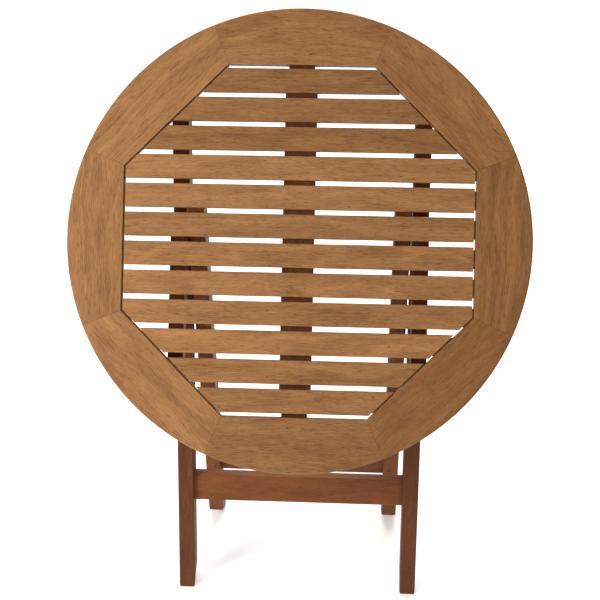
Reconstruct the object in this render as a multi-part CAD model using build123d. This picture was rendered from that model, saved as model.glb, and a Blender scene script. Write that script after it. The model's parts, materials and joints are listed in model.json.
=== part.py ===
from build123d import *
import math
import os

# Round folding garden table, half folded, standing on its feet.
# Units are millimetres. +X is to the right, +Y is away from the front, +Z is up.
# The table is drawn about the leg pivot and then moved so that its feet are on Z = 0
# and its bounding box is centred on X = Y = 0.

# ---- table top -------------------------------------------------------------------
TOP_D = 700.0            # diameter of the round top
OCTAGON = 530.0          # opening in the rim, across flats
RIM_T = 20.0             # rim thickness
RIM_GAP = 0.3            # open joint line between two rim pieces
RIM_ROUND = 3.0          # rounding of the outer edges
JOINT_CHAMFER = 0.8      # small bevel that shows each rim joint
SLAT_COUNT = 12
SLAT_W = 36.2
SLAT_GAP = 7.6           # open gap between two slats
SLAT_T = 14.0
SLAT_ROUND = 1.6
SLAT_END_GAP = 2.8       # gap between a slat's end and the rim
TONGUE = 8.0             # slat tongue length inside the rim groove
TONGUE_T = 6.0
GROOVE_T = 6.6
GROOVE_D = 8.5
BATTEN_W = 48.0          # middle batten
BATTEN_T = 18.0
BATTEN_END_W = 39.0
BATTEN_LAP = 30.0        # how far the batten's thin end laps under the rim
LAP_T = 6.0

# ---- leg frames ------------------------------------------------------------------
LEG_W = 26.0             # leg width, seen from the front
LEG_D = 42.0             # leg depth, front to back
LEG_ROUND = 2.5
OUTER_X = 200.0          # outside face of an outer leg
SIDE_GAP = 3.0           # washer space between outer and inner legs
OUTER_FOOT = 512.0       # leg pivot to floor, along the outer leg
INNER_FOOT = 524.0       # leg pivot to floor, along the inner leg
UPPER = 315.8            # leg pivot to top pivot, along the outer leg
INNER_END = 165.6        # leg pivot to the centre of the inner leg's rounded end
STAY_AT = 124.2          # leg pivot to stay pivot, along the inner leg
OPEN_OUTER = 54.5        # outer legs' slope when the table is open and its top is level
TOP_TO_OUTER = 16.7      # angle between the top and the outer legs, as folded here
TOP_TO_INNER = 39.7      # angle between the top and the inner legs, as folded here
RAIL_H = 46.0            # low stretchers
RAIL_T = 24.0
OUTER_RAIL_AT = 346.0    # leg pivot to the outer stretcher's middle
INNER_RAIL_AT = 386.0
TENON_L = 18.0
TENON_H = 32.0
TENON_T = 10.0
TENON_FIT = 0.15
PIN_R = 2.5              # wooden pin through each tenon of the inner legs
PIN_FIT = 0.05
PIN_L = 28.0
PIN_DROP = 7.0           # how far the pin is below the middle of the tenon

# ---- stays that hold the open top level ------------------------------------------
STAY_W = 24.0
STAY_R = 17.0            # half of a stay's depth, and its end radius
STAY_ROUND = 2.0
STAY_X = 174.5           # inside face of a stay
STAY_LINE = 60.0         # depth of the stay pivot below the top's surface

# ---- hardware --------------------------------------------------------------------
BOLT_R = 4.0
FIXED_HOLE = 0.05        # radial clearance where the bolt does not turn
TURN_HOLE = 0.08         # radial clearance where a piece turns on the bolt
HEAD_R = 9.0
HEAD_H = 4.0
SOCKET_R = 2.9           # hexagon socket in a bolt head, across corners / 2
SOCKET_D = 2.4
NUT_R = 7.5              # cap nut, across corners / 2
NUT_H = 5.0
CAP_R = 6.2
CAP_H = 4.0
SHIM = 0.2               # side play beside each turning piece
WASHER_R = 10.0
WASHER_BORE = 4.1
PIVOT_BLOCK_X = 203.0
STAY_BLOCK_X = 201.5
BLOCK_W = 25.0
BLOCK_HALF = 20.0        # half of a block's length along the top
BLOCK_BELOW = 18.0       # block wood under the pivot
SCREW_R = 1.75
SCREW_HOLE = 1.8
SCREW_HEAD_R = 3.6
SCREW_HEAD_H = 2.2

BIG = 1000.0
os.makedirs("parts", exist_ok=True)


def save(shape, node):
    shape.label = node
    export_step(shape, f"parts/{node}.step")


def span(x0, x1, y0, y1, z0, z1):
    """A box given by its faces."""
    box = Box(x1 - x0, y1 - y0, z1 - z0)
    return Pos((x0 + x1) / 2, (y0 + y1) / 2, (z0 + z1) / 2) * box


def rod(x0, x1, y, z, radius):
    """A round bar along X."""
    bar = Cylinder(radius, abs(x1 - x0))
    return Pos((x0 + x1) / 2, y, z) * Rot(0, 90, 0) * bar


def rounded(shape, axis, radius):
    """Round the long edges that run along one axis."""
    return fillet(shape.edges().filter_by(axis), radius)


# ---- where the pivots are --------------------------------------------------------
def along(angle, length):
    """The (y, z) offset of a point `length` up a line at `angle` to the ground."""
    turn = math.radians(angle)
    return (length * math.cos(turn), length * math.sin(turn))


OPEN_INNER = math.degrees(math.asin(OUTER_FOOT * math.sin(math.radians(OPEN_OUTER)) / INNER_FOOT))
HALF_D = LEG_D / 2
OUTER_SLANT = HALF_D / math.tan(math.radians(OPEN_OUTER))
INNER_SLANT = HALF_D / math.tan(math.radians(OPEN_INNER))


def corner(angle, length, depth):
    """A point on a leg's foot, `length` down the leg and `depth` in front of its middle."""
    down = along(angle, -length)
    out = along(angle + 90, depth)
    return (down[0] + out[0], down[1] + out[1])


def standing_tilt():
    """The slope of the top when the front and back feet's lowest edges are level."""
    front = corner(TOP_TO_OUTER, OUTER_FOOT + OUTER_SLANT, HALF_D)
    back = corner(TOP_TO_INNER, INNER_FOOT + INNER_SLANT, -HALF_D)
    return -math.degrees(math.atan2(back[1] - front[1], back[0] - front[0]))


TILT = standing_tilt()
OUTER_ANGLE = TILT + TOP_TO_OUTER
INNER_ANGLE = TILT + TOP_TO_INNER

# In the top's own frame (y up the slope, z out of its surface, origin at its centre).
TOP_PIVOT = (235.0, -52.0)
TOP_LEG_PIVOT = (
    TOP_PIVOT[0] - along(TOP_TO_OUTER, UPPER)[0],
    TOP_PIVOT[1] - along(TOP_TO_OUTER, UPPER)[1],
)
STAY_HEAD = (
    TOP_LEG_PIVOT[0] + along(TOP_TO_INNER, STAY_AT)[0],
    TOP_LEG_PIVOT[1] + along(TOP_TO_INNER, STAY_AT)[1],
)
OPEN_LEG_PIVOT = (
    TOP_PIVOT[0] - along(OPEN_OUTER, UPPER)[0],
    TOP_PIVOT[1] - along(OPEN_OUTER, UPPER)[1],
)
OPEN_STAY_HEAD = (
    OPEN_LEG_PIVOT[0] - along(OPEN_INNER, STAY_AT)[0],
    OPEN_LEG_PIVOT[1] + along(OPEN_INNER, STAY_AT)[1],
)


def stay_foot():
    """The pivot under the top that is equally far from the stay's head, folded and open."""
    z = -STAY_LINE
    folded = STAY_HEAD[0] ** 2 + (z - STAY_HEAD[1]) ** 2
    opened = OPEN_STAY_HEAD[0] ** 2 + (z - OPEN_STAY_HEAD[1]) ** 2
    return ((opened - folded) / (2 * (OPEN_STAY_HEAD[0] - STAY_HEAD[0])), z)


STAY_FOOT = stay_foot()
STAY_L = math.hypot(STAY_HEAD[0] - STAY_FOOT[0], STAY_HEAD[1] - STAY_FOOT[1])
STAY_SLOPE = math.degrees(math.atan2(STAY_HEAD[1] - STAY_FOOT[1], STAY_HEAD[0] - STAY_FOOT[0]))

OUTER_PLACE = Rot(OUTER_ANGLE, 0, 0)
INNER_PLACE = Rot(INNER_ANGLE, 0, 0)
TOP_PLACE = Rot(TILT, 0, 0) * Pos(0, -TOP_LEG_PIVOT[0], -TOP_LEG_PIVOT[1])

nodes = {}


def place(name, shape, where):
    nodes[name] = where * shape


# ---- rim -------------------------------------------------------------------------
APOTHEM = OCTAGON / 2


def octagon(apothem):
    reach = apothem / math.cos(math.radians(22.5))
    corners = [(reach * math.cos(math.radians(22.5 + 45 * i)),
                reach * math.sin(math.radians(22.5 + 45 * i))) for i in range(8)]
    return make_face(Polyline(*corners, close=True))


def rim_blank():
    """The whole rim before it is divided: a rounded disc with an octagonal opening."""
    disc = Pos(0, 0, -RIM_T / 2) * Cylinder(TOP_D / 2, RIM_T)
    disc = fillet(disc.edges().filter_by(GeomType.CIRCLE), RIM_ROUND)
    ring = disc - extrude(octagon(APOTHEM), -RIM_T)
    surface = ring.faces().filter_by(Axis.Z).sort_by(Axis.Z)[-1]
    return chamfer(surface.edges().filter_by(GeomType.LINE), JOINT_CHAMFER)


RIM_BLANK = rim_blank()
BEVEL = make_face(Polyline((-JOINT_CHAMFER, 1), (-JOINT_CHAMFER, 0.2), (0, -JOINT_CHAMFER),
                           (JOINT_CHAMFER, 0.2), (JOINT_CHAMFER, 1), close=True))
BEVEL = Rot(90, 0, 90) * extrude(BEVEL, TOP_D)


def rim_piece(middle):
    """One rim piece; its middle lies at angle `middle` round the top."""
    reach = TOP_D
    half = math.radians(22.5)
    wedge = [(0, 0),
             (reach * math.cos(half), -reach * math.sin(half)),
             (reach * math.cos(half), reach * math.sin(half))]
    piece = extrude(make_face(Polyline(*wedge, close=True)), -RIM_T)
    piece = Rot(0, 0, middle) * piece & RIM_BLANK
    for side in (22.5, -22.5):
        joint = span(0, TOP_D, -RIM_GAP / 2, RIM_GAP / 2, -RIM_T - 1, 1)
        piece = piece - Rot(0, 0, middle + side) * (joint + BEVEL)
    return piece


RIM_MIDDLES = {"rim_right": 0, "rim_far_right": 45, "rim_far": 90, "rim_far_left": 135,
               "rim_left": 180, "rim_near_left": 225, "rim_near": 270, "rim_near_right": 315}
GROOVE = (extrude(octagon(APOTHEM + GROOVE_D), GROOVE_T)
          - extrude(octagon(APOTHEM - GROOVE_D), GROOVE_T))
GROOVE = Pos(0, 0, -SLAT_T / 2 - GROOVE_T / 2) * GROOVE


def batten_lap(width, top, bottom):
    """The batten's two thin ends, or the recesses under the rim that take them."""
    ends = []
    for side in (1, -1):
        y0 = side * (APOTHEM - 6)
        y1 = side * (APOTHEM + BATTEN_LAP)
        ends.append(span(-width / 2, width / 2, min(y0, y1), max(y0, y1), bottom, top))
    return ends


for name, middle in RIM_MIDDLES.items():
    piece = rim_piece(middle)
    if name not in ("rim_far", "rim_near"):
        piece = piece - GROOVE
    for recess in batten_lap(BATTEN_END_W + 0.6, -SLAT_T, -RIM_T - 1):
        if name in ("rim_far", "rim_near"):
            piece = piece - recess
    nodes[name] = piece


# ---- slats -----------------------------------------------------------------------
PITCH = SLAT_W + SLAT_GAP


def slat_y(index):
    return ((SLAT_COUNT - 1) / 2 - index) * PITCH


SLAT_FIELD = extrude(octagon(APOTHEM - SLAT_END_GAP), -SLAT_T)
TONGUE_FIELD = Pos(0, 0, -SLAT_T / 2 - TONGUE_T / 2) * extrude(octagon(APOTHEM + TONGUE), TONGUE_T)


def slat(index):
    y = slat_y(index)
    bar = span(-APOTHEM, APOTHEM, y - SLAT_W / 2, y + SLAT_W / 2, -SLAT_T, 0)
    bar = rounded(bar, Axis.X, SLAT_ROUND) & SLAT_FIELD
    low = -SLAT_T / 2 - TONGUE_T / 2
    high = low + TONGUE_T
    tongue = span(-APOTHEM - TONGUE, APOTHEM + TONGUE,
                  y - SLAT_W / 2 + 4, y + SLAT_W / 2 - 4, low, high)
    reach = tongue & TONGUE_FIELD
    # The first and last slats have no rim groove along their long edge.
    limit = APOTHEM - SLAT_END_GAP - 1
    reach = reach & span(-BIG, BIG, -limit, limit, -SLAT_T, 0)
    return bar + reach


for i in range(SLAT_COUNT):
    nodes[f"slat_{i + 1:02d}"] = slat(i)


# ---- middle batten and its screws ------------------------------------------------
BATTEN_LOW = -SLAT_T - BATTEN_T
batten = span(-BATTEN_W / 2, BATTEN_W / 2, -APOTHEM + 6, APOTHEM - 6, BATTEN_LOW, -SLAT_T)
batten = rounded(batten, Axis.Y, 1.5)
for end in batten_lap(BATTEN_END_W, -SLAT_T, -SLAT_T - LAP_T):
    batten = batten + end


def screw_up(x, y, z_head, length):
    """A countersunk screw driven upwards; its head is flush at z_head."""
    head = Pos(x, y, z_head + SCREW_HEAD_H / 2) * Cone(SCREW_HEAD_R, SCREW_R, SCREW_HEAD_H)
    shank = Pos(x, y, z_head + SCREW_HEAD_H + length / 2) * Cylinder(SCREW_R, length)
    return head + shank


def screw_hole(x, y, z_head, length):
    grow = SCREW_HOLE - SCREW_R
    head = Pos(x, y, z_head + SCREW_HEAD_H / 2)
    head = head * Cone(SCREW_HEAD_R + grow, SCREW_HOLE, SCREW_HEAD_H)
    mouth = Pos(x, y, z_head - 0.5) * Cylinder(SCREW_HEAD_R + grow, 1.0)
    shank = Pos(x, y, z_head + SCREW_HEAD_H + (length + 1) / 2) * Cylinder(SCREW_HOLE, length + 1)
    return head + mouth + shank


BATTEN_SCREW_L = BATTEN_T + 7.0
batten_screws = []
for i in range(SLAT_COUNT):
    x = 11.0 if i % 2 else -11.0
    batten_screws.append(screw_up(x, slat_y(i), BATTEN_LOW, BATTEN_SCREW_L))
    hole = screw_hole(x, slat_y(i), BATTEN_LOW, BATTEN_SCREW_L)
    batten = batten - hole
    nodes[f"slat_{i + 1:02d}"] = nodes[f"slat_{i + 1:02d}"] - hole
LAP_SCREW_L = 12.0
for name, side in (("rim_far", 1), ("rim_near", -1)):
    y = side * (APOTHEM + BATTEN_LAP / 2)
    for x in (-11.0, 11.0):
        batten_screws.append(screw_up(x, y, -SLAT_T - LAP_T, LAP_SCREW_L))
        hole = screw_hole(x, y, -SLAT_T - LAP_T, LAP_SCREW_L)
        batten = batten - hole
        nodes[name] = nodes[name] - hole
nodes["middle_batten"] = batten
nodes["batten_screws"] = Compound(batten_screws)


# ---- blocks under the rim --------------------------------------------------------
def block(side, x_in, pivot):
    y, z = pivot
    x0 = side * x_in
    x1 = side * (x_in + BLOCK_W)
    low = z - BLOCK_BELOW
    shape = span(min(x0, x1), max(x0, x1), y - BLOCK_HALF, y + BLOCK_HALF, low, -RIM_T)
    lower = shape.faces().sort_by(Axis.Z)[0].edges().filter_by(Axis.X)
    shape = fillet(lower, 12.0)
    return shape - rod(x0 - side, x1 + side, y, z, BOLT_R + FIXED_HOLE)


BLOCK_SCREW_RISE = 14.0  # how far a block's screws bite into the rim
block_screws = []
for label, x_in, pivot, rims in (
        ("pivot_block", PIVOT_BLOCK_X, TOP_PIVOT, ("rim_far_left", "rim_far_right")),
        ("stay_block", STAY_BLOCK_X, STAY_FOOT, ("rim_near_left", "rim_near_right"))):
    for side, hand, rim in ((-1, "left", rims[0]), (1, "right", rims[1])):
        shape = block(side, x_in, pivot)
        for step in (-1, 1):
            x = side * (x_in + BLOCK_W / 2)
            y = pivot[0] + step * (BLOCK_HALF - 6)
            head = -RIM_T - 14.0
            well = Pos(x, y, head - BIG / 2) * Cylinder(SCREW_HEAD_R + 0.4, BIG)
            block_screws.append(screw_up(x, y, head, BLOCK_SCREW_RISE + 14.0 - SCREW_HEAD_H))
            hole = screw_hole(x, y, head, BLOCK_SCREW_RISE + 14.0 - SCREW_HEAD_H)
            shape = shape - hole - well
            nodes[rim] = nodes[rim] - hole
        nodes[f"{label}_{hand}"] = shape
nodes["block_screws"] = Compound(block_screws)


# ---- bolts -----------------------------------------------------------------------
def bolt_head(side, x, y, z):
    """A low domed head with a hexagon socket; it stands outwards from x."""
    head = rod(side * x, side * (x + HEAD_H), y, z, HEAD_R)
    dome = head.faces().sort_by(Axis.X)[-1 if side > 0 else 0].edges()
    socket = extrude(RegularPolygon(SOCKET_R, 6), SOCKET_D, both=True)
    head = fillet(dome, HEAD_H - 1.0)
    return head - Pos(side * (x + HEAD_H), y, z) * Rot(0, 90, 0) * socket


def cap_nut(side, x, y, z):
    """A hexagon nut with a domed cap; it stands inwards from x."""
    flats = extrude(RegularPolygon(NUT_R, 6), NUT_H / 2, both=True)
    nut = Pos(side * (x - NUT_H / 2), y, z) * Rot(0, 90, 0) * flats
    cap = rod(side * (x - NUT_H - CAP_H), side * (x - NUT_H + 1), y, z, CAP_R)
    dome = cap.faces().sort_by(Axis.X)[0 if side > 0 else -1].edges()
    return nut + fillet(dome, CAP_H - 0.5)


def bolt(side, x_head, x_nut, y, z):
    """A bolt through two pieces: head outside, shank, and cap nut inside."""
    shank = rod(side * (x_nut - 1), side * (x_head + 1), y, z, BOLT_R)
    return shank + bolt_head(side, x_head, y, z) + cap_nut(side, x_nut, y, z)


def washer(side, x0, x1, y, z):
    return rod(side * x0, side * x1, y, z, WASHER_R) - rod(
        side * (x0 - 1), side * (x1 + 1), y, z, WASHER_BORE)


OUTER_IN = OUTER_X - LEG_W
INNER_X = OUTER_IN - SIDE_GAP
INNER_IN = INNER_X - LEG_W
STAY_OUT = STAY_X + STAY_W
top_washers = []
for side, hand in ((-1, "left"), (1, "right")):
    nodes[f"top_pivot_bolt_{hand}"] = bolt(
        side, PIVOT_BLOCK_X + BLOCK_W, OUTER_IN - SHIM, *TOP_PIVOT)
    nodes[f"stay_pivot_bolt_{hand}"] = bolt(
        side, STAY_BLOCK_X + BLOCK_W, STAY_X - SHIM, *STAY_FOOT)
    top_washers.append(washer(side, OUTER_X + SHIM, PIVOT_BLOCK_X, *TOP_PIVOT))
    top_washers.append(washer(side, STAY_OUT + SHIM, STAY_BLOCK_X, *STAY_FOOT))
nodes["top_washers"] = Compound(top_washers)
for name in list(nodes):
    place(name, nodes[name], TOP_PLACE)


# ---- stays -----------------------------------------------------------------------
STAY_PLACE = TOP_PLACE * Pos(0, STAY_FOOT[0], STAY_FOOT[1]) * Rot(STAY_SLOPE, 0, 0)
for side, hand in ((-1, "left"), (1, "right")):
    x0, x1 = sorted((side * STAY_X, side * STAY_OUT))
    stay = span(x0, x1, 0, STAY_L, -STAY_R, STAY_R)
    stay = stay + rod(x0, x1, 0, 0, STAY_R) + rod(x0, x1, STAY_L, 0, STAY_R)
    stay = fillet(stay.faces().filter_by(Axis.X).edges(), STAY_ROUND)
    stay = stay - rod(x0 - 1, x1 + 1, 0, 0, BOLT_R + TURN_HOLE)
    stay = stay - rod(x0 - 1, x1 + 1, STAY_L, 0, BOLT_R + FIXED_HOLE)
    place(f"stay_{hand}", stay, STAY_PLACE)
    pin = rod(side * (INNER_X + 0.3), side * (STAY_OUT + 1), STAY_L, 0, BOLT_R)
    place(f"stay_head_bolt_{hand}", pin + bolt_head(side, STAY_OUT, STAY_L, 0), STAY_PLACE)


# ---- legs ------------------------------------------------------------------------
def leg(x0, x1, end, foot, slant):
    """A leg along Y from its pivot; a positive slant makes the front edge the longer one."""
    profile = make_face(Polyline(
        (HALF_D, end), (-HALF_D, end),
        (-HALF_D, -foot + slant),
        (HALF_D, -foot - slant), close=True))
    bar = Pos(x0, 0, 0) * Rot(0, -90, 0) * extrude(profile, x0 - x1)
    bar = bar + rod(x0, x1, end, 0, HALF_D)
    return fillet(bar.faces().filter_by(Axis.X).edges(), LEG_ROUND)


def tenon_slot(x0, x1, y, grow):
    return span(x0, x1, y - TENON_H / 2 - grow, y + TENON_H / 2 + grow,
                -TENON_T / 2 - grow, TENON_T / 2 + grow)


def stretcher(x_face, y):
    bar = span(-x_face, x_face, y - RAIL_H / 2, y + RAIL_H / 2, -RAIL_T / 2, RAIL_T / 2)
    bar = rounded(bar, Axis.X, 2.0)
    reach = x_face + TENON_L - TENON_FIT
    return bar + tenon_slot(-reach, reach, y, -TENON_FIT)


def tenon_pin(x, front, radius):
    """A pin that is driven in from the inner leg's front; its tail ends at one depth."""
    length = front - HALF_D + PIN_L
    pin = Cylinder(radius, length)
    return Pos(x, -INNER_RAIL_AT - PIN_DROP, front - length / 2) * pin


tenon_pins = []
leg_washers = []
for side, hand in ((-1, "left"), (1, "right")):
    # Outer leg: turns on the top pivot bolt, carries the leg pivot bolt.
    x0, x1 = sorted((side * OUTER_IN, side * OUTER_X))
    outer = leg(x0, x1, UPPER, OUTER_FOOT, OUTER_SLANT)
    outer = outer - rod(x0 - 1, x1 + 1, UPPER, 0, BOLT_R + TURN_HOLE)
    outer = outer - rod(x0 - 1, x1 + 1, 0, 0, BOLT_R + FIXED_HOLE)
    m0, m1 = sorted((side * (OUTER_IN - 1), side * (OUTER_IN + TENON_L)))
    outer = outer - tenon_slot(m0, m1, -OUTER_RAIL_AT, 0)
    place(f"outer_leg_{hand}", outer, OUTER_PLACE)
    place(f"leg_pivot_bolt_{hand}", bolt(side, OUTER_X, INNER_IN - SHIM, 0, 0), OUTER_PLACE)
    leg_washers.append(washer(side, INNER_X + SHIM, OUTER_IN, 0, 0))

    # Inner leg: turns on the leg pivot bolt, carries the stud for the stay.
    x0, x1 = sorted((side * INNER_IN, side * INNER_X))
    inner = leg(x0, x1, INNER_END, INNER_FOOT, -INNER_SLANT)
    inner = inner - rod(x0 - 1, x1 + 1, 0, 0, BOLT_R + TURN_HOLE)
    inner = inner - rod(x0 - 1, x1 + 1, STAY_AT, 0, BOLT_R + FIXED_HOLE)
    m0, m1 = sorted((side * (INNER_IN - 1), side * (INNER_IN + TENON_L)))
    inner = inner - tenon_slot(m0, m1, -INNER_RAIL_AT, 0)
    pin_x = side * (INNER_IN + TENON_L / 2)
    inner = inner - tenon_pin(pin_x, HALF_D + 1, PIN_R + PIN_FIT)
    place(f"inner_leg_{hand}", inner, INNER_PLACE)
    tenon_pins.append(tenon_pin(pin_x, HALF_D, PIN_R))
    stud = rod(side * (INNER_IN - 1), side * (INNER_X - 0.2), STAY_AT, 0, BOLT_R)
    place(f"stay_stud_{hand}", stud + cap_nut(side, INNER_IN, STAY_AT, 0), INNER_PLACE)

place("leg_washers", Compound(leg_washers), OUTER_PLACE)
place("outer_stretcher", stretcher(OUTER_IN, -OUTER_RAIL_AT), OUTER_PLACE)
inner_bar = stretcher(INNER_IN, -INNER_RAIL_AT)
for side in (-1, 1):
    pin_x = side * (INNER_IN + TENON_L / 2)
    inner_bar = inner_bar - tenon_pin(pin_x, HALF_D, PIN_R + PIN_FIT)
place("inner_stretcher", inner_bar, INNER_PLACE)
place("tenon_pins", Compound(tenon_pins), INNER_PLACE)


# ---- set the table on the floor and centre it --------------------------------------
whole = Compound(list(nodes.values())).bounding_box()
LIFT = Pos(0, -(whole.min.Y + whole.max.Y) / 2, -whole.min.Z)
for name, shape in nodes.items():
    save(LIFT * shape, name)


def report_point(label, point, where):
    spot = (LIFT * where * Pos(0, point[0], point[1])).position
    print(f"{label}: y {spot.Y:.3f} z {spot.Z:.3f}")


report_point("leg pivot", (0, 0), OUTER_PLACE)
report_point("top pivot", TOP_PIVOT, TOP_PLACE)
report_point("stay pivot", STAY_FOOT, TOP_PLACE)
report_point("stay head", STAY_HEAD, TOP_PLACE)
OPEN_SLOPE = math.degrees(math.atan2(OPEN_STAY_HEAD[1] - STAY_FOOT[1],
                                     OPEN_STAY_HEAD[0] - STAY_FOOT[0]))
print(f"top tilt {TILT:.3f}, stay length {STAY_L:.2f}")
print(f"top swing 0 to {OPEN_OUTER - TOP_TO_OUTER:.3f}")
print(f"leg cross 0 to {180 - OPEN_OUTER - OPEN_INNER - TOP_TO_INNER + TOP_TO_OUTER:.3f}")
print(f"stay swing 0 to {STAY_SLOPE - OPEN_SLOPE:.3f}")
print(f"open height {-OPEN_LEG_PIVOT[1] + OUTER_FOOT * math.sin(math.radians(OPEN_OUTER)):.1f}")
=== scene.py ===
# %% [markdown]
# # A round folding garden table
# This lesson dresses a table that is already built and jointed: every rim piece, slat, leg and bolt
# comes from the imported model, at its real size and in its real place. What is left for Blender is
# what a joiner would call the finish: the figure of the wood, the oil on it, the steel, the screws,
# and a plain studio to look at it in.

# %% Load the table
import json
import math
import random

import bmesh
import bpy
from mathutils import Euler, Matrix, Vector


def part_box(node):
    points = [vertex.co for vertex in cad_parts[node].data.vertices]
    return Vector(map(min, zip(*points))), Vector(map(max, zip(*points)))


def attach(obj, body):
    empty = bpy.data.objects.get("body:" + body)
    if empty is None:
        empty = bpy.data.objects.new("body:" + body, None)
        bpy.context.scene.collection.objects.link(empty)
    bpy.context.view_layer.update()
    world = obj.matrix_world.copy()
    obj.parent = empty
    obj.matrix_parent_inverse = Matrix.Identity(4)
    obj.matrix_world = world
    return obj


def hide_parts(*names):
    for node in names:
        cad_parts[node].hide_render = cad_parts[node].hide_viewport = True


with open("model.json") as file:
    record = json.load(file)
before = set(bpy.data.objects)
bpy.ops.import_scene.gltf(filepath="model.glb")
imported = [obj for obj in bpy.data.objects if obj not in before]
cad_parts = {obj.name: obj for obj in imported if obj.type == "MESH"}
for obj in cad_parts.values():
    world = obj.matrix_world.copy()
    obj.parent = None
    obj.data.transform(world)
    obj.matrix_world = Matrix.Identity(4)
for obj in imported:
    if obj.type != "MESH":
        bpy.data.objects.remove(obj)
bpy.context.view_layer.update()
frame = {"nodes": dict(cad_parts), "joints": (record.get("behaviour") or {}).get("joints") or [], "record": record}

nodes = frame["nodes"]
joints = {joint["name"]: joint for joint in frame["joints"]}
mounts = {mount["name"]: mount for mount in frame["record"]["mounts"]}

# %% [markdown]
# ## Which way each piece lies
# Wood has a direction, so every board needs its own three axes: along the grain, across the face,
# and through the thickness. They could be typed in, but then they would go wrong as soon as the
# table changed. The joints' places already say how the legs and stays lean, and the top's own flat
# face says how the top leans, so the axes are worked out from those.

# %% Axes of the top, the legs and the stays
RIGHT = Vector((1, 0, 0))


def middle(node):
    low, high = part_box(node)
    return (Vector(low) + Vector(high)) / 2


def flat_line(start, end):
    """The direction from start to end, seen from the side."""
    line = Vector(end) - Vector(start)
    line.x = 0
    return line.normalized()


top_normal = Vector(mounts["top_surface"]["axis"]).normalized()
up_slope = top_normal.cross(RIGHT)
leg_pivot = joints["leg_cross"]["pos_m"]
outer_line = flat_line(leg_pivot, joints["top_swing"]["pos_m"])
inner_line = flat_line(leg_pivot, middle("stay_stud_left"))
stay_line = flat_line(joints["stay_left_swing"]["pos_m"], middle("stay_head_bolt_left"))
RIM_THICKNESS = 0.020
top_centre = middle("rim_left") + top_normal * RIM_THICKNESS / 2
top_centre.x = 0
print("the top leans", round(math.degrees(top_normal.angle(Vector((0, 0, 1)))), 2), "degrees")

# %% [markdown]
# ## The wood
# The table is made of a plain tropical hardwood, rubbed with oil. Close up it has four things:
# soft bands where the saw has cut across growth rings, fine streaks of fibre, short dark pores, and
# a cloudy change of tone along each board. A flat image of wood wrapped round a box would slide
# round the corners and show the same knot twice. Here the bands are cut out of an imaginary trunk
# instead: each board has its own place in the trunk, so its end grain, edges and face agree.

# %% Small helpers for building node trees
def add_node(tree, kind, inputs=None, **settings):
    """A node with its settings and its constant or linked inputs."""
    node = tree.nodes.new(kind)
    for name, value in settings.items():
        setattr(node, name, value)
    for name, value in (inputs or {}).items():
        socket = node.inputs[name]
        if isinstance(value, bpy.types.NodeSocket):
            tree.links.new(value, socket)
        else:
            socket.default_value = value
    return node


def maths(tree, operation, first, second=0.0, clamp=False):
    return add_node(tree, "ShaderNodeMath", {0: first, 1: second},
                    operation=operation, use_clamp=clamp).outputs[0]


def ramp(tree, value, low, high, to_low=0.0, to_high=1.0):
    """value from low..high, taken to to_low..to_high with soft ends."""
    node = add_node(tree, "ShaderNodeMapRange",
                    {"Value": value, "From Min": low, "From Max": high,
                     "To Min": to_low, "To Max": to_high}, interpolation_type="SMOOTHSTEP")
    return node.outputs["Result"]


def weighed(tree, parts, middle_value):
    """Adds up patterns that each swing about one half, and centres the sum on middle_value."""
    total = middle_value - sum(weight for _, weight in parts) / 2
    for pattern, weight in parts:
        part = maths(tree, "MULTIPLY", pattern, weight)
        total = maths(tree, "ADD", part, total)
    return maths(tree, "MINIMUM", maths(tree, "MAXIMUM", total, 0.0), 1.0)


def mix_colour(tree, factor, first, second, blend="MIX"):
    node = add_node(tree, "ShaderNodeMix", data_type="RGBA", blend_type=blend)
    for index, value in ((0, factor), (6, first), (7, second)):
        if isinstance(value, bpy.types.NodeSocket):
            tree.links.new(value, node.inputs[index])
        else:
            node.inputs[index].default_value = value
    return node.outputs[2]


def scaled(tree, vector, along, across):
    """Squeezes a pattern: a large number makes it fine in that direction."""
    return add_node(tree, "ShaderNodeVectorMath", {0: vector, 1: (along, across, across)},
                    operation="MULTIPLY").outputs[0]


def noise(tree, vector, detail=2.0, roughness=0.5, scale=1.0):
    node = add_node(tree, "ShaderNodeTexNoise",
                    {"Vector": vector, "Scale": scale, "Detail": detail, "Roughness": roughness})
    return node.outputs["Fac"]


# %% The figure of the wood, as one shared group
# Pattern scales, along the grain and across it, in waves per metre
WAVE_SCALE = (3.2, 11.0)
STREAK_SCALE = (26.0, 640.0)
CLOUD_SCALE = (13.0, 55.0)
PORE_SCALE = (95.0, 1250.0)
RINGS_PER_METRE = 210.0


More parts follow.
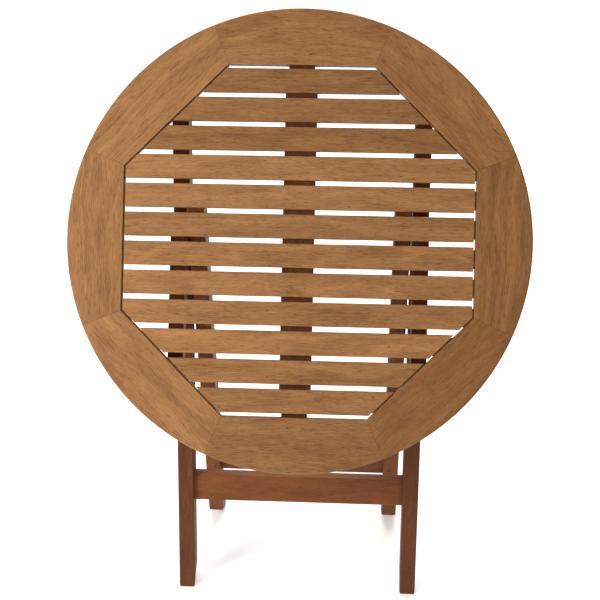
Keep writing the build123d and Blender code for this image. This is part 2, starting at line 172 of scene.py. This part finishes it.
def wood_figure():
    """Inputs: place in the board, and its surface direction. Outputs: colour, roughness, height."""
    tree = bpy.data.node_groups.new("wood figure", "ShaderNodeTree")
    face = tree.interface
    face.new_socket("Place", in_out="INPUT", socket_type="NodeSocketVector")
    face.new_socket("Facing", in_out="INPUT", socket_type="NodeSocketVector")
    face.new_socket("Pale wood", in_out="INPUT", socket_type="NodeSocketColor")
    face.new_socket("Dark wood", in_out="INPUT", socket_type="NodeSocketColor")
    face.new_socket("Colour", in_out="OUTPUT", socket_type="NodeSocketColor")
    face.new_socket("Roughness", in_out="OUTPUT", socket_type="NodeSocketFloat")
    face.new_socket("Height", in_out="OUTPUT", socket_type="NodeSocketFloat")
    given = tree.nodes.new("NodeGroupInput").outputs
    result = tree.nodes.new("NodeGroupOutput").inputs

    # Growth rings: distance from the heart of the trunk, bent by slow waves along the board.
    wave = add_node(tree, "ShaderNodeTexNoise",
                    {"Vector": scaled(tree, given["Place"], *WAVE_SCALE),
                     "Scale": 1.0, "Detail": 2.0})
    bend = add_node(tree, "ShaderNodeVectorMath", {0: wave.outputs["Color"], 1: (0, 0.030, 0.030)},
                    operation="MULTIPLY").outputs[0]
    bent = add_node(tree, "ShaderNodeVectorMath", {0: given["Place"], 1: bend}).outputs[0]
    flat = add_node(tree, "ShaderNodeVectorMath", {0: bent, 1: (0, 1, 1)},
                    operation="MULTIPLY").outputs[0]
    from_heart = add_node(tree, "ShaderNodeVectorMath", {0: flat},
                          operation="LENGTH").outputs["Value"]
    ring = add_node(tree, "ShaderNodeTexNoise",
                    {"W": maths(tree, "MULTIPLY", from_heart, RINGS_PER_METRE),
                     "Scale": 1.0, "Detail": 2.5, "Roughness": 0.6},
                    noise_dimensions="1D").outputs["Fac"]

    # Fibre streaks, pores and slow clouds of tone.
    streak = noise(tree, scaled(tree, bent, *STREAK_SCALE), detail=4.0, roughness=0.72)
    cloud = noise(tree, scaled(tree, bent, *CLOUD_SCALE), detail=3.0, roughness=0.6)
    pore = noise(tree, scaled(tree, given["Place"], *PORE_SCALE), detail=1.0)
    pore = ramp(tree, pore, 0.585, 0.70)

    tone = weighed(tree, ((ring, 0.75), (streak, 1.35), (cloud, 0.80)), 0.52)
    colour = mix_colour(tree, tone, given["Dark wood"], given["Pale wood"])
    colour = mix_colour(tree, maths(tree, "MULTIPLY", pore, 0.55), colour, (0.040, 0.015, 0.006, 1))

    # End grain drinks more oil, so it is darker and duller.
    grain_way = add_node(tree, "ShaderNodeSeparateXYZ", {0: given["Facing"]}).outputs["X"]
    end = ramp(tree, maths(tree, "ABSOLUTE", grain_way), 0.55, 0.85)
    colour = mix_colour(tree, maths(tree, "MULTIPLY", end, 0.45), colour, (0.09, 0.040, 0.018, 1))

    # Handling rubs the sharp edges pale.
    true_way = add_node(tree, "ShaderNodeNewGeometry").outputs["Normal"]
    soft_way = add_node(tree, "ShaderNodeBevel", {"Radius": 0.0016}, samples=4).outputs["Normal"]
    same = add_node(tree, "ShaderNodeVectorMath", {0: true_way, 1: soft_way},
                    operation="DOT_PRODUCT").outputs["Value"]
    worn = maths(tree, "MULTIPLY", ramp(tree, same, 0.99, 0.80), streak)
    colour = mix_colour(tree, maths(tree, "MULTIPLY", worn, 0.45), colour, given["Pale wood"])

    rough = maths(tree, "ADD", maths(tree, "MULTIPLY", streak, 0.22), 0.44)
    rough = maths(tree, "ADD", rough, maths(tree, "MULTIPLY", end, 0.15))
    height = maths(tree, "SUBTRACT", maths(tree, "MULTIPLY", streak, 0.5), pore)
    tree.links.new(colour, result["Colour"])
    tree.links.new(rough, result["Roughness"])
    tree.links.new(height, result["Height"])
    return tree


WOOD_FIGURE = wood_figure()
print("the wood figure has", len(WOOD_FIGURE.nodes), "nodes")

# %% [markdown]
# ## One material for each board
# Boards that lie side by side in a shop come from different trees, so each gets its own place in
# the trunk and a slightly different tone; on the rim and the frames this tone also holds painted
# shade. A Mapping node turns the pattern so that the
# grain runs along the board, and it moves the board away from the heart of the trunk. The shader
# itself stays the same from board to board: a dull oiled surface with a little gloss.

# %% Wood for one board
tones = random.Random(7)
HEART_DEPTH = (0.050, 0.110)
HEART_SIDE = 0.030


def tinted(colour, factor, red=1.0):
    """The same wood, lighter or darker, and a little redder if red is above 1."""
    return (colour[0] * factor * red, colour[1] * factor, colour[2] * factor / red, 1)


def board_wood(name, grain, face_way, centre, pale, dark, factor, red=1.0):
    """Wood whose grain runs along `grain`, on a board whose wide face looks along `face_way`."""
    material = bpy.data.materials.new(name)
    material.use_nodes = True
    tree = material.node_tree
    shader = tree.nodes["Principled BSDF"]
    side = face_way.cross(grain).normalized()
    turn = Matrix((grain, side, face_way)).transposed().to_euler()
    heart = (centre + grain * tones.uniform(-0.4, 0.4)
             + side * tones.uniform(-HEART_SIDE, HEART_SIDE)
             - face_way * tones.uniform(*HEART_DEPTH))
    where = add_node(tree, "ShaderNodeTexCoord")
    place = add_node(tree, "ShaderNodeMapping",
                     {"Vector": where.outputs["Object"], "Location": heart, "Rotation": turn},
                     vector_type="TEXTURE")
    facing = add_node(tree, "ShaderNodeMapping",
                      {"Vector": where.outputs["Normal"], "Rotation": turn}, vector_type="TEXTURE")
    figure = add_node(tree, "ShaderNodeGroup", node_tree=WOOD_FIGURE)
    tree.links.new(place.outputs[0], figure.inputs["Place"])
    tree.links.new(facing.outputs[0], figure.inputs["Facing"])
    figure.inputs["Pale wood"].default_value = tinted(pale, factor, red)
    figure.inputs["Dark wood"].default_value = tinted(dark, factor, red)
    bump = add_node(tree, "ShaderNodeBump",
                    {"Height": figure.outputs["Height"], "Strength": 0.35, "Distance": 0.0004})
    tree.links.new(figure.outputs["Colour"], shader.inputs["Base Color"])
    tree.links.new(figure.outputs["Roughness"], shader.inputs["Roughness"])
    tree.links.new(bump.outputs[0], shader.inputs["Normal"])
    shader.inputs["Specular IOR Level"].default_value = 0.16
    return material


def finish_node(node, material):
    """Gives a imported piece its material, in every slot it has."""
    mesh = nodes[node].data
    if not mesh.materials:
        mesh.materials.append(material)
    for index in range(len(mesh.materials)):
        mesh.materials[index] = material


TOP_PALE = (0.410, 0.196, 0.070)
TOP_DARK = (0.168, 0.066, 0.0190)
# The frame colours are darkened with painted shade for the legs, stays and batten, which stand in the top's
# shadow.
FRAME_PALE_AND_SHADE = (0.175, 0.058, 0.0160)
FRAME_DARK_AND_SHADE = (0.066, 0.018, 0.0048)

# %% [markdown]
# ## The rim
# Eight short boards are mitred into a ring and then cut round on the outside, so the grain changes
# direction at every joint. The grain of each board runs along its straight inner edge: it is the
# ring's own direction at the middle of that board.

# %% Finish the rim boards
RIM_BOARDS = {"rim_right": 0, "rim_far_right": 45, "rim_far": 90, "rim_far_left": 135,
              "rim_left": 180, "rim_near_left": 225, "rim_near": 270, "rim_near_right": 315}
# Each rim board's tone below is partly its own and partly painted shade: the boards on the right of the top are
# made darker, as if less lit by the key light.
RIM_TONES_AND_SHADE = {"rim_right": 0.76, "rim_far_right": 0.85, "rim_far": 0.91, "rim_far_left": 0.96,
             "rim_left": 0.87, "rim_near_left": 0.95, "rim_near": 0.82, "rim_near_right": 0.70}
RIM_REDS = {"rim_right": 1.03, "rim_near_right": 1.06, "rim_far_right": 1.01, "rim_far_left": 0.98,
            "rim_near_left": 0.98}
for node, angle in RIM_BOARDS.items():
    turn = math.radians(angle)
    grain = up_slope * math.cos(turn) - RIGHT * math.sin(turn)
    finish_node(node, board_wood(node + "_wood", grain, top_normal, middle(node),
                                 TOP_PALE, TOP_DARK, RIM_TONES_AND_SHADE[node], RIM_REDS.get(node, 1.0)))
print("rim boards:", len(RIM_BOARDS))

# %% [markdown]
# ## The slats
# Twelve slats run from side to side. On the real table some are clearly redder or paler than their
# neighbours, because they are sorted by size and not by colour, so each one has its own tone here.

# %% Finish the slats
SLAT_TONES = (0.76, 0.81, 0.78, 0.99, 0.98, 0.88, 0.94, 1.03, 0.96, 1.02, 0.96, 0.95)
SLAT_REDS = (0.99, 0.99, 1.02, 0.98, 0.97, 0.99, 0.99, 0.98, 0.98, 1.00, 0.98, 0.98)
for index, (factor, red) in enumerate(zip(SLAT_TONES, SLAT_REDS)):
    node = f"slat_{index + 1:02d}"
    finish_node(node, board_wood(node + "_wood", RIGHT, top_normal, middle(node),
                                 TOP_PALE, TOP_DARK, factor, red))
print("slats:", len(SLAT_TONES))

# %% [markdown]
# ## Legs, stretchers, stays and blocks
# The frames are darker and redder than the top: partly a darker batch of the same wood, partly
# painted shade, because the legs, stays and batten stand in the top's shadow. Each part's grain
# runs along its length, which the pivots have already given.

# %% Finish the frames
front_of_outer = outer_line.cross(RIGHT) * -1
front_of_inner = inner_line.cross(RIGHT) * -1
front_of_stay = stay_line.cross(RIGHT) * -1
# The last number is each part's tone, which also holds painted shade: it is lowered for the stays and the batten,
# in the top's shadow.
FRAME_BOARDS = {
    "outer_leg_left": (outer_line, front_of_outer, 0.86),
    "outer_leg_right": (outer_line, front_of_outer, 0.98),
    "outer_stretcher": (RIGHT, front_of_outer, 1.45),
    "inner_leg_left": (inner_line, front_of_inner, 1.20),
    "inner_leg_right": (inner_line, front_of_inner, 1.15),
    "inner_stretcher": (RIGHT, front_of_inner, 1.15),
    "stay_left": (stay_line, front_of_stay, 0.85),
    "stay_right": (stay_line, front_of_stay, 0.80),
    "middle_batten": (up_slope, top_normal, 0.95),
    "pivot_block_left": (up_slope, top_normal, 1.0),
    "pivot_block_right": (up_slope, top_normal, 1.08),
    "stay_block_left": (up_slope, top_normal, 1.05),
    "stay_block_right": (up_slope, top_normal, 0.97),
    "tenon_pins": (front_of_inner, inner_line, 0.65),
}
for node, (grain, face_way, factor) in FRAME_BOARDS.items():
    finish_node(node, board_wood(node + "_wood", grain, face_way, middle(node),
                                 FRAME_PALE_AND_SHADE, FRAME_DARK_AND_SHADE, factor))
print("frame boards:", len(FRAME_BOARDS))

# %% [markdown]
# ## Steel
# Garden furniture is held together with zinc-plated steel: greyish, a little warm, with fine marks
# from turning and a few dull patches where the weather has been at it.

# %% The plated steel
def plated_steel(name, tone):
    material = bpy.data.materials.new(name)
    material.use_nodes = True
    tree = material.node_tree
    shader = tree.nodes["Principled BSDF"]
    where = add_node(tree, "ShaderNodeTexCoord").outputs["Object"]
    patch = noise(tree, where, detail=3.0, scale=160.0)
    marks = noise(tree, scaled(tree, where, 2600.0, 500.0), detail=2.0)
    bright = tinted((0.56, 0.54, 0.50), tone)
    dull = tinted((0.33, 0.30, 0.26), tone)
    colour = mix_colour(tree, ramp(tree, patch, 0.52, 0.70), bright, dull)
    rough = maths(tree, "ADD", maths(tree, "MULTIPLY", marks, 0.15),
                  ramp(tree, patch, 0.45, 0.70, 0.24, 0.50))
    bump = add_node(tree, "ShaderNodeBump", {"Height": marks, "Strength": 0.25, "Distance": 0.0001})
    tree.links.new(colour, shader.inputs["Base Color"])
    tree.links.new(rough, shader.inputs["Roughness"])
    tree.links.new(bump.outputs[0], shader.inputs["Normal"])
    shader.inputs["Metallic"].default_value = 1.0
    return material


BOLT_STEEL = plated_steel("bolt_steel", 1.0)
SCREW_STEEL = plated_steel("screw_steel", 0.85)
steel_nodes = [node for node in nodes if "bolt" in node or "washer" in node or "stud" in node]
for node in steel_nodes:
    finish_node(node, BOLT_STEEL)
print("steel pieces:", len(steel_nodes))

# %% [markdown]
# ## Screws
# Two dozen identical screws hold the batten and the blocks. One screw is worth modelling properly,
# with a countersunk head and a cross recess, and the rest should be copies of it. That is what
# Geometry Nodes are for: the tree makes one screw and puts a copy on every point it is given. The
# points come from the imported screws, so each copy sits in its own hole.

# %% Where the screws are
def loose_parts(node):
    """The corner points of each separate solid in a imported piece."""
    mesh = bmesh.new()
    mesh.from_mesh(nodes[node].data)
    bmesh.ops.remove_doubles(mesh, verts=mesh.verts, dist=1e-6)
    waiting, parts = set(mesh.verts), []
    while waiting:
        front, part = [waiting.pop()], []
        while front:
            vertex = front.pop()
            part.append(vertex.co.copy())
            for edge in vertex.link_edges:
                other = edge.other_vert(vertex)
                if other in waiting:
                    waiting.remove(other)
                    front.append(other)
        parts.append(part)
    mesh.free()
    return sorted(parts, key=lambda part: tuple(round(value, 4) for value in min(part, key=tuple)))


def screw_heads(node, drive):
    """The middle of each screw's head, and the longest screw's length."""
    heads, length = [], 0.0
    for part in loose_parts(node):
        depths = [point.dot(drive) for point in part]
        axis = sum(part, Vector()) / len(part)
        heads.append(axis + drive * (min(depths) - axis.dot(drive)))
        length = max(length, max(depths) - min(depths))
    return heads, length


# %% The screw tree
def named_input(tree, name, kind, value=None):
    socket = tree.interface.new_socket(name, in_out="INPUT", socket_type=kind)
    if value is not None:
        socket.default_value = value
    return socket


def screw_tree():
    """A cross-head countersunk screw on every point, driven along Drive."""
    tree = bpy.data.node_groups.new("countersunk screws", "GeometryNodeTree")
    named_input(tree, "Geometry", "NodeSocketGeometry")
    named_input(tree, "Head radius", "NodeSocketFloat", 0.0036)
    named_input(tree, "Head height", "NodeSocketFloat", 0.0022)
    named_input(tree, "Shank radius", "NodeSocketFloat", 0.00175)
    named_input(tree, "Length", "NodeSocketFloat", 0.030)
    named_input(tree, "Drive", "NodeSocketVector", (0, 0, 1))
    named_input(tree, "Seed", "NodeSocketInt", 3)
    named_input(tree, "Material", "NodeSocketMaterial")
    tree.interface.new_socket("Geometry", in_out="OUTPUT", socket_type="NodeSocketGeometry")
    given = tree.nodes.new("NodeGroupInput").outputs
    head = add_node(tree, "GeometryNodeMeshCone",
                    {"Vertices": 24, "Radius Top": given["Shank radius"],
                     "Radius Bottom": given["Head radius"], "Depth": given["Head height"]})
    slots = add_node(tree, "GeometryNodeJoinGeometry")
    recess = maths(tree, "MULTIPLY", given["Head height"], 1.3)
    long_side = maths(tree, "MULTIPLY", given["Head radius"], 1.15)
    short_side = maths(tree, "MULTIPLY", given["Head radius"], 0.26)
    for x_side, y_side in ((long_side, short_side), (short_side, long_side)):
        size = add_node(tree, "ShaderNodeCombineXYZ", {"X": x_side, "Y": y_side, "Z": recess})
        slot = add_node(tree, "GeometryNodeMeshCube", {"Size": size.outputs[0]})
        tree.links.new(slot.outputs["Mesh"], slots.inputs[0])
    cut = add_node(tree, "GeometryNodeMeshBoolean", operation="DIFFERENCE")
    tree.links.new(head.outputs["Mesh"], cut.inputs[0])
    tree.links.new(slots.outputs[0], cut.inputs[1])
    shank_length = maths(tree, "SUBTRACT", given["Length"], given["Head height"])
    shank = add_node(tree, "GeometryNodeMeshCone",
                     {"Vertices": 12, "Radius Bottom": given["Shank radius"],
                      "Radius Top": maths(tree, "MULTIPLY", given["Shank radius"], 0.35),
                      "Depth": shank_length})
    lift = add_node(tree, "ShaderNodeCombineXYZ", {"Z": given["Head height"]})
    shank = add_node(tree, "GeometryNodeTransform",
                     {"Geometry": shank.outputs["Mesh"], "Translation": lift.outputs[0]})
    screw = add_node(tree, "GeometryNodeJoinGeometry")
    tree.links.new(cut.outputs["Mesh"], screw.inputs[0])
    tree.links.new(shank.outputs[0], screw.inputs[0])
    aim = add_node(tree, "FunctionNodeAlignRotationToVector", {"Vector": given["Drive"]}, axis="Z")
    copies = add_node(tree, "GeometryNodeInstanceOnPoints",
                      {"Points": given["Geometry"], "Instance": screw.outputs[0],
                       "Rotation": aim.outputs[0]})
    spin = add_node(tree, "FunctionNodeRandomValue", {"Seed": given["Seed"]}, data_type="FLOAT")
    spin.inputs[3].default_value = math.tau
    turn = add_node(tree, "ShaderNodeCombineXYZ", {"Z": spin.outputs[1]})
    turned = add_node(tree, "GeometryNodeRotateInstances",
                      {"Instances": copies.outputs[0], "Rotation": turn.outputs[0]})
    real = add_node(tree, "GeometryNodeRealizeInstances", {0: turned.outputs[0]})
    painted = add_node(tree, "GeometryNodeSetMaterial",
                       {"Geometry": real.outputs[0], "Material": given["Material"]})
    result = tree.nodes.new("NodeGroupOutput")
    tree.links.new(painted.outputs[0], result.inputs[0])
    return tree


SCREW_TREE = screw_tree()

# %% Drive the screws
def drive_screws(name, node, drive, body):
    heads, length = screw_heads(node, drive)
    points = bpy.data.meshes.new(name + "_points")
    points.from_pydata(heads, [], [])
    maker = bpy.data.objects.new(name + "_maker", points)
    bpy.context.scene.collection.objects.link(maker)
    modifier = maker.modifiers.new("screws", "NODES")
    modifier.node_group = SCREW_TREE
    values = {"Length": length, "Drive": drive, "Material": SCREW_STEEL}
    for socket in SCREW_TREE.interface.items_tree:
        if socket.in_out == "INPUT" and socket.name in values:
            modifier[socket.identifier] = values[socket.name]
    bpy.context.view_layer.update()
    made = maker.evaluated_get(bpy.context.evaluated_depsgraph_get())
    piece = bpy.data.objects.new(name, bpy.data.meshes.new_from_object(made))
    bpy.context.scene.collection.objects.link(piece)
    bpy.data.objects.remove(maker)
    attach(piece, body)
    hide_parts(node)
    print(name, len(heads), "screws,", round(length * 1000, 1), "mm long")
    return piece


drive_screws("cross_head_batten_screws", "batten_screws", top_normal, "top")
drive_screws("cross_head_block_screws", "block_screws", top_normal, "top")

# %% [markdown]
# ## The studio
# A plain pale floor and large soft lights, as a furniture shop would use. The key light stands near
# the table on its left, so that the left of the top is brighter than the right. A wide light
# hangs above and behind to keep the floor pale, and hardly touches the tilted top.

# %% Floor, sky and lights
FLOOR_HALF = 40.0
FLOOR_GREY = 0.88
FLOOR_ROUGHNESS = 0.9
FLOOR_GLOW = 0.30
floor_mesh = bpy.data.meshes.new("studio_floor")
floor_mesh.from_pydata([(-FLOOR_HALF, -FLOOR_HALF, 0), (FLOOR_HALF, -FLOOR_HALF, 0),
                        (FLOOR_HALF, FLOOR_HALF, 0), (-FLOOR_HALF, FLOOR_HALF, 0)],
                       [], [(0, 1, 2, 3)])
floor = bpy.data.objects.new("studio_floor", floor_mesh)
bpy.context.scene.collection.objects.link(floor)
floor_paint = bpy.data.materials.new("pale_floor")
floor_paint.use_nodes = True
floor_look = floor_paint.node_tree.nodes["Principled BSDF"].inputs
floor_look["Base Color"].default_value = (FLOOR_GREY, FLOOR_GREY, FLOOR_GREY, 1)
floor_look["Roughness"].default_value = FLOOR_ROUGHNESS
floor_look["Emission Color"].default_value = (1, 1, 1, 1)
floor_look["Emission Strength"].default_value = FLOOR_GLOW
floor_mesh.materials.append(floor_paint)

sky = bpy.data.worlds.new("soft_sky")
sky.use_nodes = True
SKY_LIGHT = 0.44
SKY_SEEN = 0.86
lit_sky = sky.node_tree.nodes["Background"]
lit_sky.inputs["Color"].default_value = (1.0, 0.99, 0.97, 1)
ray = add_node(sky.node_tree, "ShaderNodeLightPath")
strength = ramp(sky.node_tree, ray.outputs["Is Camera Ray"], 0.0, 1.0, SKY_LIGHT, SKY_SEEN)
sky.node_tree.links.new(strength, lit_sky.inputs["Strength"])
bpy.context.scene.world = sky
bpy.context.scene.view_settings.view_transform = "Standard"


def soft_light(name, place, look_at, width, power, warmth=1.0):
    lamp = bpy.data.lights.new(name, "AREA")
    lamp.shape = "DISK"
    lamp.size = width
    lamp.energy = power
    lamp.color = (1.0, 0.5 + 0.5 / warmth, 1.0 / warmth)
    holder = bpy.data.objects.new(name, lamp)
    bpy.context.scene.collection.objects.link(holder)
    holder.location = place
    holder.rotation_euler = (Vector(look_at) - Vector(place)).to_track_quat("-Z", "Y").to_euler()
    return holder


soft_light("key_light", (-1.30, -0.98, 1.10), top_centre, 0.9, 29.0, 1.03)
soft_light("fill_light", (0.9, -2.6, 1.0), top_centre, 2.2, 5.0)
soft_light("floor_light", (0.0, 2.4, 3.6), (0, 1.6, 0), 3.5, 170.0)

# %% [markdown]
# ## The camera
# The camera looks almost straight at the tilted top from about two metres, a little from the right
# and from below its middle, which shows the legs under the near edge. It is placed in the top's own
# directions. A small sideways shift frames the table without turning the camera.

# %% Place the camera
CAMERA_RIGHT = 0.0868
CAMERA_UP = -0.1129
CAMERA_AWAY = 1.9977
CAMERA_TURN = (0.387, 3.143, 1.348)
lens = bpy.data.cameras.new("camera")
lens.lens = 80.08
lens.sensor_width = 36.0
lens.shift_x = 0.0322
lens.shift_y = 0.0147
camera = bpy.data.objects.new("camera", lens)
bpy.context.scene.collection.objects.link(camera)
top_axes = Matrix((RIGHT, up_slope, top_normal)).transposed()
camera_turn = Euler([math.radians(angle) for angle in CAMERA_TURN], "XYZ").to_matrix()
place = top_centre + RIGHT * CAMERA_RIGHT + up_slope * CAMERA_UP + top_normal * CAMERA_AWAY
camera.matrix_world = Matrix.Translation(place) @ (top_axes @ camera_turn).to_4x4()
bpy.context.scene.camera = camera
print("camera at", [round(value, 3) for value in place])
